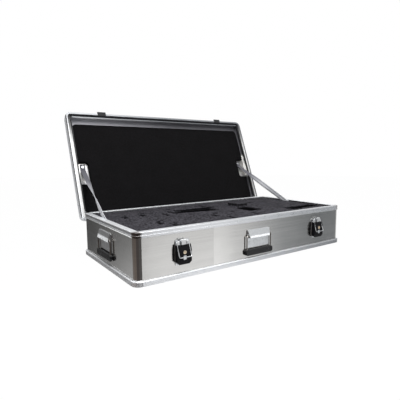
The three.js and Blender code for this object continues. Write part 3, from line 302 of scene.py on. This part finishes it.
# Painted shadow: a black line along the rim's edge and its thin lip at the case's ends.
edge = lid_rim.both(lid_rim.spread(off_middle, 0.5885, 0.5895), lid_rim.spread(off_middle, 0.5975, 0.5965),
                    lid_rim.spread(mouthward, 0.1, 0.2))
lip = lid_rim.both(lid_rim.spread(off_middle, 0.5735, 0.5725), lid_rim.spread(off_middle, 0.558, 0.562),
                   lid_rim.spread(height, 0.685, 0.680), lid_rim.spread(height, 0.195, 0.200))
lid_rim.color(lid_rim.tint(lid_rim.sum("MAXIMUM", edge, lip), metal, (0.012, 0.012, 0.014)))
dress(nodes["lid_frame"], lid_rim.material)


# Seal in the lid rim's groove: a black sponge rubber profile, matt and slightly dusty. On the short runs, at the case's
# ends, it is painted pale, a painted light that fades towards the top edge of the open lid.
seal = Finish("sponge_seal", (0.33, 0.33, 0.34), roughness=0.85, Specular_IOR_Level=0.2)
dust = seal.spread(seal.cloud(seal.place(), 60.0, detail=5), 0.3, 0.7)
off_middle = seal.off_middle("X")
# Painted light: the seal is pale on the short runs, most near the hinge, fading towards the lid's top edge.
lower = seal.spread(seal.at("Z"), 0.70, 0.54, 0.15, 1.0)
lit_seal_ends = seal.both(seal.spread(off_middle, 0.572, 0.575), seal.spread(off_middle, 0.5878, 0.5868), lower, lower)
seal.color(seal.tint(lit_seal_ends, seal.tint(dust, (0.004, 0.004, 0.005), (0.010, 0.010, 0.012)),
                     seal.tint(dust, (0.66, 0.66, 0.66), (0.78, 0.78, 0.77))))
seal.bump(seal.cloud(seal.place(), 900.0, detail=2), 0.0001, 0.4)
dress(nodes["lid_seal"], seal.material)


# Foam of the tub: a charcoal open-cell block, cut by knife for its tools, on a plain pad. The edges of the cuts
# are a little rounded, and the skin is torn and pitted.
def open_cell(name, dark, light, clumped, top, sunk=-1.0):
    foam = Finish(name, light, roughness=1.0, Specular_IOR_Level=0.1)
    pores = foam.cells(foam.place(), 620.0)
    grain = foam.cloud(foam.place(), 230.0, detail=5, roughness=0.75)
    tufts = foam.cloud(foam.place(), 115.0, detail=3, roughness=0.6)
    patches = foam.cloud(foam.place(), 14.0, detail=4)
    speckle = foam.both(foam.spread(grain, 0.36, 0.66), foam.spread(pores, 0.1, 0.5, 0.3, 1.0))
    clumps = foam.sum("ADD", foam.sum("MULTIPLY", speckle, 0.4),
                      foam.spread(tufts, 0.42, 0.58, 0.2 - clumped, 0.2 + clumped))
    tone = foam.sum("ADD", clumps, foam.spread(patches, 0.3, 0.7, 0.0, 0.15))
    # Painted shade: the foam is painted dark below the sunk height, in its pockets, and darker on faces that turn away
    # from top.
    lit = foam.spread(foam.at("Z"), sunk, sunk + 0.006)
    side_shade = foam.spread(foam.facing(top), 0.1, 0.7, 0.35, 1.0)
    foam.color(foam.tint(foam.both(tone, lit, side_shade), dark, light))
    foam.bump(foam.sum("ADD", grain, foam.sum("MULTIPLY", pores, 0.5)), 0.0007, 0.9)
    return foam.material


def piece(name, bm):
    mesh = bpy.data.meshes.new(name)
    bm.to_mesh(mesh)
    bm.free()
    obj = bpy.data.objects.new(name, mesh)
    scene.collection.objects.link(obj)
    return obj


def settle(obj):
    """The object's modifiers are worked into its mesh."""
    bpy.context.view_layer.update()
    shaped = bpy.data.meshes.new_from_object(obj.evaluated_get(bpy.context.evaluated_depsgraph_get()))
    obj.modifiers.clear()
    obj.data = shaped


def cut_foam(node, body, material, voxel, swell, turned=Matrix(), worn=None):
    """Foam in the shape of a CAD block, its knife-cut edges softened, its faces uneven, worn as the call given says."""
    bm = bmesh.new()
    bm.from_mesh(nodes[node].data)
    bmesh.ops.remove_doubles(bm, verts=bm.verts, dist=1e-5)
    bmesh.ops.transform(bm, matrix=turned.inverted(), verts=bm.verts)
    obj = piece(f"{node}_cut", bm)
    remesh = obj.modifiers.new("cells", "REMESH")
    remesh.mode = "VOXEL"
    remesh.voxel_size = voxel
    settle(obj)
    bm = bmesh.new()
    bm.from_mesh(obj.data)
    bm.normal_update()
    for vertex in bm.verts:
        uneven = noise.noise(vertex.co * 9) + 0.5 * noise.noise(vertex.co * 45)
        vertex.co += vertex.normal * (swell * uneven - swell)
        if worn:
            worn(vertex.co)
    bmesh.ops.transform(bm, matrix=turned, verts=bm.verts)
    for face in bm.faces:
        face.smooth = True
    bm.to_mesh(obj.data)
    bm.free()
    dress(obj, material)
    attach(obj, body)
    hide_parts(node)
    return obj


charcoal = open_cell("charcoal_foam", (0.0015, 0.0015, 0.002), (0.074, 0.071, 0.083), 0.30, up, sunk=0.188)
foam_top = 0.183
foam_spring = 0.010
pocket_depth = 0.022
end_depth = 0.015
cube_depth = 0.018
cube_half = (0.010, 0.026)
torn_bits = [(-0.414, -0.142), (-0.478, 0.066), (-0.389, 0.075), (-0.380, -0.226), (-0.117, -0.126), (-0.086, -0.216),
             (0.007, 0.162), (-0.239, 0.086), (-0.29, 0.02), (0.075, -0.19)]


def plucked(point):
    """The inlay's top springs up by a centimetre between its cuts, and cubes are plucked out of it by hand."""
    spring = max(0.0, min(1.0, (point.z - 0.13) / 0.05)) * max(0.0, min(1.0, (0.214 - point.z) / 0.022))
    on_top = point.z > foam_top
    point.z += foam_spring * spring
    if not on_top:
        return
    ragged = 0.006 * noise.noise(Vector((point.x * 60, point.y * 60, 7.0)))
    share = (point.x + 0.245) / 0.245
    if point.x > 0.550:
        point.z -= end_depth
    elif 0 < share < 1 and 0.031 - 0.035 * share < point.y + ragged < 0.058 + 0.05 * min(1.0, share * 2):
        point.z -= pocket_depth
    elif 0.31 < point.x + ragged < 0.39 and -0.217 < point.y + ragged < -0.150:
        point.z -= pocket_depth
    elif any(abs(point.x - x + ragged) < cube_half[0] and abs(point.y - y + ragged) < cube_half[1]
             for x, y in torn_bits):
        point.z -= cube_depth


cut_foam("foam_insert", "tub", charcoal, 0.004, 0.0006, worn=plucked)
cut_foam("bottom_foam_pad", "tub", charcoal, 0.01, 0.0004)


# Foam of the lid: one black pad, bonded to the lid's sheet, with a notch at each side where the strap is fixed.
open_angle = math.radians(111.4)
hinge_line = Vector((0, 0.298, 0.166))
lid_place = Matrix.Translation(hinge_line) @ Matrix.Rotation(-open_angle, 4, "X") @ Matrix.Translation(-hinge_line)
black_foam = open_cell("black_foam", (0.002, 0.002, 0.002), (0.0075, 0.007, 0.008), 0.1, open_lid_mouth)


def pressed_wide(point):
    """The pad's ends bulge towards the lid's sides."""
    if abs(point.x) > 0.5655:
        point.x += math.copysign(0.005, point.x)


cut_foam("lid_foam", "lid", black_foam, 0.005, 0.0005, lid_place, worn=pressed_wide)


# Lid straps: flat woven webbing, pale grey with a darker stripe near each edge, riveted to the tub rim's inner
# face and to the lid's sheet. Each one makes a quarter turn on its way up.
strap_width = 0.028
strap_thickness = 0.0018
rim_rivet = Vector((0.5668, 0.064, 0.186))
lid_leave = lid_place @ Vector((0.534, 0.016, 0.2498))
lid_end = lid_place @ Vector((0.534, -0.014, 0.2498))
rising = Vector((0, lid_leave.y - rim_rivet.y, lid_leave.z - rim_rivet.z)).normalized()
upright = Vector((0, -rising.z, rising.y))
strap_entry = rim_rivet + rising * 0.040
strap_knots = [rim_rivet - rising * 0.013, strap_entry, lid_leave, lid_end]
strap_runs = [(b - a).length for a, b in zip(strap_knots, strap_knots[1:])]
strap_length = sum(strap_runs)


def strap_point(across, along):
    """A point of the right strap, from its place across (-0.5 to 0.5) and along (0 to 1) the band."""
    reach = along * strap_length
    run = 0
    while run < 2 and reach > strap_runs[run]:
        reach -= strap_runs[run]
        run += 1
    share = min(reach / strap_runs[run], 1)
    centre = strap_knots[run].lerp(strap_knots[run + 1], share)
    turn = 0.0
    if run == 1:
        eased = max(0.0, min(1.0, (share - 0.1) / 0.85))
        turn = eased * eased * (3 - 2 * eased) * math.pi / 2
    if run == 2:
        turn = math.pi / 2
    width = upright * math.cos(turn) + Vector((1, 0, 0)) * math.sin(turn)
    return centre + width * (across * strap_width)


webbing = Finish("woven_webbing", (0.60, 0.61, 0.64), roughness=0.75, Sheen_Weight=0.3, Sheen_Roughness=0.4)
band_uv = webbing.place(source="UV")
across, along = webbing.axis(band_uv, "X"), webbing.axis(band_uv, "Y")
rows = webbing.sum("SINE", webbing.sum("MULTIPLY", along, 2600.0))
ribs = webbing.sum("SINE", webbing.sum("MULTIPLY", across, 110.0))
weave = webbing.sum("ADD", webbing.both(rows, ribs, 0.3), 0.5)
from_middle = webbing.sum("ABSOLUTE", webbing.sum("SUBTRACT", across, 0.5))
stripe = webbing.both(webbing.spread(from_middle, 0.2, 0.24), webbing.spread(from_middle, 0.38, 0.34))
striped = webbing.tint(stripe, (0.60, 0.61, 0.64), (0.22, 0.22, 0.24))
# Painted shade: the band is painted darker from just below its middle to its upper end.
shaded_upper_band = webbing.tint(webbing.spread(along, 0.42, 0.72), striped, (0.085, 0.085, 0.10))
webbing.color(webbing.tint(webbing.spread(weave, 0.2, 0.8, 0.25, 0.0), shaded_upper_band, (0.1, 0.1, 0.12)))
webbing.bump(weave, 0.0004, 0.7)

for side, sign in (("left", -1), ("right", 1)):
    bm = bmesh.new()
    bmesh.ops.create_grid(bm, x_segments=6, y_segments=96, size=0.5)
    uv = bm.loops.layers.uv.new("band")
    for face in bm.faces:
        face.smooth = True
        for loop in face.loops:
            loop[uv].uv = (loop.vert.co.x + 0.5, loop.vert.co.y + 0.5)
    for vertex in bm.verts:
        vertex.co = strap_point(vertex.co.x, vertex.co.y + 0.5)
        vertex.co.x *= sign
    strap = piece(f"{side}_webbing", bm)
    thicken = strap.modifiers.new("thickness", "SOLIDIFY")
    thicken.thickness = strap_thickness
    thicken.offset = 0
    settle(strap)
    dress(strap, webbing.material)
    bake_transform(strap)
    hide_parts(f"{side}_strap")


# Zinc-plated steel fittings: hinges, handle plates and bails, latch plates, wires and eyelets. Plating leaves a
# fine grain with cloudy patches.
def plated(name, color, roughness=0.32, lip=False):
    plate = Finish(name, color, metallic=1.0, roughness=roughness)
    upward = plate.facing(up)
    metal = plate.spread(upward, 0.80, 0.95, 1.0, 0.3)
    clouds = plate.cloud(plate.place(), 90.0, detail=5, roughness=0.6)
    # Painted shade: faces that turn upwards are painted darker.
    top_shade = plate.spread(upward, 0.42, 0.62)
    clean = plate.tint(plate.spread(clouds, 0.3, 0.7), shade(color, 0.84), color)
    if lip:
        # Painted highlight: along the hood's lip the colour stays full and the metal matt.
        out = plate.sum("MAXIMUM", plate.sum("SUBTRACT", plate.off_middle("X"), 0.2975), plate.off_middle("Y"))
        bright = plate.spread(out, 0.3044, 0.3060)
        metal = plate.both(metal, plate.spread(bright, 0, 1, 1.0, 0.1))
        top_shade = plate.both(top_shade, plate.spread(bright, 0, 1, 1.0, 0.0))
    plate.metal(metal)
    plate.color(plate.tint(top_shade, clean, shade(color, 0.56)))
    plate.rough(plate.spread(clouds, 0.3, 0.7, roughness + 0.1, roughness - 0.06))
    plate.bump(plate.cloud(plate.place(), 1400.0, detail=2), 0.00004, 0.4)
    return plate.material


zinc_color = (0.84, 0.86, 0.88)
zinc = plated("zinc_plate", zinc_color)
brass = plated("pale_brass", (0.98, 0.85, 0.66), roughness=0.4)
for name in ("left", "middle", "right"):
    for part in ("base_leaf", "lid_leaf", "pin"):
        dress(nodes[f"{name}_hinge_{part}"], zinc)
# The handle brackets' hoods are painted darker above, a painted shade, and bright and matt along the lip, a painted
# highlight. The wire under them is darker.
hood = plated("zinc_hood", zinc_color, lip=True)
wire = plated("dull_wire", (0.40, 0.38, 0.36))
for name in ("front", "left", "right"):
    dress(nodes[f"{name}_handle_bracket"], hood)
    dress(nodes[f"{name}_handle_bail"], wire)
for side in ("left", "right"):
    for part in ("latch_plate", "lever_pin", "latch_bail", "latch_tab", "strap_lid_eyelet", "strap_rim_eyelet"):
        dress(nodes[f"{side}_{part}"], zinc)
    dress(nodes[f"{side}_lock_cylinder"], brass)


# Moulded grips and levers, and the black keepers: hard plastic with a fine spark-eroded grain, polished a
# little where hands rub it, and steel in a satin black paint.
def black(name, color, roughness, mirror=0.22):
    skin = Finish(name, color, roughness=roughness, Specular_IOR_Level=mirror)
    rubbed_and_lit = skin.cloud(skin.place(), 25.0, detail=4)
    skin.color(skin.tint(skin.spread(rubbed_and_lit, 0.35, 0.75), color, shade(color, 1.9)))
    skin.rough(skin.spread(rubbed_and_lit, 0.3, 0.75, roughness + 0.08, roughness - 0.1))
    skin.bump(skin.cells(skin.place(), 1500.0), 0.00008, 0.5)
    return skin


plastic = black("black_plastic", (0.006, 0.006, 0.007), 0.30, mirror=0.36)
painted = black("black_paint", (0.012, 0.012, 0.013), 0.32)
for name in ("front", "left", "right"):
    dress(nodes[f"{name}_handle_grip"], plastic.material)

# The lever's head, with the lugs for its pin and for the bail, is zinc, and the moulding starts below it.
lever = black("capped_lever", (0.006, 0.006, 0.007), 0.38, mirror=0.1)
capped = lever.spread(lever.at("Z"), 0.1335, 0.1345)
lever.color(lever.tint(capped, (0.004, 0.004, 0.005), (0.80, 0.81, 0.82)))
lever.metal(capped)
for side in ("left", "right"):
    dress(nodes[f"{side}_latch_lever"], lever.material)
    dress(nodes[f"{side}_keeper"], painted.material)


# The photographer's table: a pale floor, a lamp above the front left of the case and weaker light from all round.
bm = bmesh.new()
bmesh.ops.create_circle(bm, cap_ends=True, radius=7, segments=64)
floor = piece("floor", bm)
floor.location.z = -0.0006
paper = Finish("pale_paper", (0.9, 0.9, 0.9), roughness=0.9)
paper.color(paper.tint(paper.cloud(paper.place(), 2.0, detail=3), (0.88, 0.88, 0.88), (0.92, 0.92, 0.92)))


def white_to_camera(tree, surface, socket, share):
    """The camera sees white in place of a surface, by that share, and the case is lit by what is really there."""
    path = tree.nodes.new("ShaderNodeLightPath")
    seen = tree.nodes.new("ShaderNodeMath")
    seen.operation = "MULTIPLY"
    seen.inputs[1].default_value = share
    tree.links.new(path.outputs["Is Camera Ray"], seen.inputs[0])
    white = tree.nodes.new("ShaderNodeEmission" if socket == "BSDF" else "ShaderNodeBackground")
    white.inputs["Strength"].default_value = 1.0
    white.inputs["Color"].default_value = (1, 1, 1, 1)
    mix = tree.nodes.new("ShaderNodeMixShader")
    tree.links.new(seen.outputs["Value"], mix.inputs[0])
    tree.links.new(surface.outputs[socket], mix.inputs[1])
    tree.links.new(white.outputs[0], mix.inputs[2])
    output = next(node for node in tree.nodes if node.type.startswith("OUTPUT"))
    tree.links.new(mix.outputs[0], output.inputs["Surface"])


white_to_camera(paper.tree, paper.bsdf, "BSDF", 0.985)
dress(floor, paper.material)
floor.visible_glossy = False

# The studio as the sheet mirrors it: dark walls with one bright screen at the front. Each stop is a bearing in
# degrees (0 is straight ahead of the case's front, 90 to its right) and the wall's light there.
studio_walls = [
    (-180, 0.06), (-164, 0.05), (-158, 0.32), (-154.5, 0.34), (-152.5, 0.5), (-149, 0.13),
    (-130, (0.17, 0.142, 0.125)), (-95, (0.17, 0.142, 0.125)), (-60, (0.085, 0.071, 0.066)),
    (-20, (0.085, 0.077, 0.075)), (22.3, (0.13, 0.127, 0.125)), (24.3, 1.02), (35.8, 0.95), (36.4, 1.3), (38, 1.1),
    (40, 0.92), (43, (0.69, 0.70, 0.71)), (46, (0.485, 0.502, 0.515)), (48, (0.328, 0.344, 0.356)),
    (50, (0.222, 0.234, 0.244)), (56, (0.25, 0.264, 0.275)), (75, 0.7), (120, 1.0), (165, 0.6), (179, 0.06)]
world = bpy.data.worlds.new("studio")
world.use_nodes = True
scene.world = world
studio = Nodes(world.node_tree)
direction = studio.tree.nodes.new("ShaderNodeTexCoord").outputs["Generated"]
right, back, height = (studio.axis(direction, letter) for letter in "XYZ")
bearing = studio.sum("ARCTAN2", right, studio.sum("MULTIPLY", back, -1))
walls = studio.tree.nodes.new("ShaderNodeValToRGB")
ramp = walls.color_ramp
while len(ramp.elements) > 1:
    ramp.elements.remove(ramp.elements[-1])
for number, (angle, value) in enumerate(studio_walls):
    stop = ramp.elements[0] if number == 0 else ramp.elements.new(angle / 360 + 0.5)
    stop.position = angle / 360 + 0.5
    stop.color = (*(value if isinstance(value, tuple) else (value, value, value)), 1)
studio.link(studio.spread(bearing, -math.pi, math.pi), walls, "Fac")

# The walls get lighter towards the floor, most of all behind the left end, and the ceiling is pale. Surfaces that
# don't mirror it are lit by even grey light.
fall = studio.sum("POWER", studio.spread(height, -0.20, -0.32, 0.9, 1.16),
                  studio.spread(bearing, -2.62, -0.8, 3.2, 1.0))
lower = studio.tree.nodes.new("ShaderNodeVectorMath")
lower.operation = "SCALE"
studio.link(walls.outputs["Color"], lower, 0)
studio.link(fall, lower, "Scale")
mirrored = studio.tint(studio.spread(height, 0.2, 0.5), lower.outputs["Vector"], (0.95, 0.95, 0.95))
glossy = studio.tree.nodes.new("ShaderNodeLightPath").outputs["Is Glossy Ray"]
sky = studio.tree.nodes["Background"]
studio.link(studio.tint(glossy, (0.5, 0.5, 0.5), mirrored), sky, "Color")
sky.inputs["Strength"].default_value = 1.0
white_to_camera(studio.tree, sky, "Background", 1.0)


def lamp(name, place, target, size, energy):
    data = bpy.data.lights.new(name, "AREA")
    data.shape = "RECTANGLE"
    data.size, data.size_y = size
    data.energy = energy
    light = bpy.data.objects.new(name, data)
    light.location = place
    light.rotation_euler = (Vector(target) - Vector(place)).to_track_quat("-Z", "Y").to_euler()
    scene.collection.objects.link(light)


lamp("key", (-0.6, -1.3, 1.7), (-0.3, -0.5, 0), (1.2, 1.2), 45)
lamp("top", (0, 0.1, 3.2), (0, 0, 0), (2.4, 1.2), 30)


# Camera: eye height above the case's left front corner, with the photograph's perspective and framing.
photo_side = 400
film_width = 36


def place_camera(eye, yaw, pitch, roll, focal, shift):
    across = Vector((math.cos(yaw), -math.sin(yaw), 0))
    ahead = Vector((math.sin(yaw) * math.cos(pitch), math.cos(yaw) * math.cos(pitch), math.sin(pitch)))
    above = across.cross(ahead)
    screen_right = across * math.cos(roll) + above * math.sin(roll)
    screen_up = above * math.cos(roll) - across * math.sin(roll)
    data = bpy.data.cameras.new("camera")
    data.sensor_width = film_width
    data.lens = film_width * focal / photo_side
    data.shift_x, data.shift_y = (offset / photo_side for offset in shift)
    camera = bpy.data.objects.new("camera", data)
    camera.matrix_world = Matrix.Translation(eye) @ Matrix((screen_right, screen_up, -ahead)).transposed().to_4x4()
    scene.collection.objects.link(camera)
    scene.camera = camera


place_camera(Vector((-1.1016, -1.4579, 0.4683)), math.radians(35.159), math.radians(-6.792),
             math.radians(-0.364), 361.4, (-6.67, -1.02))
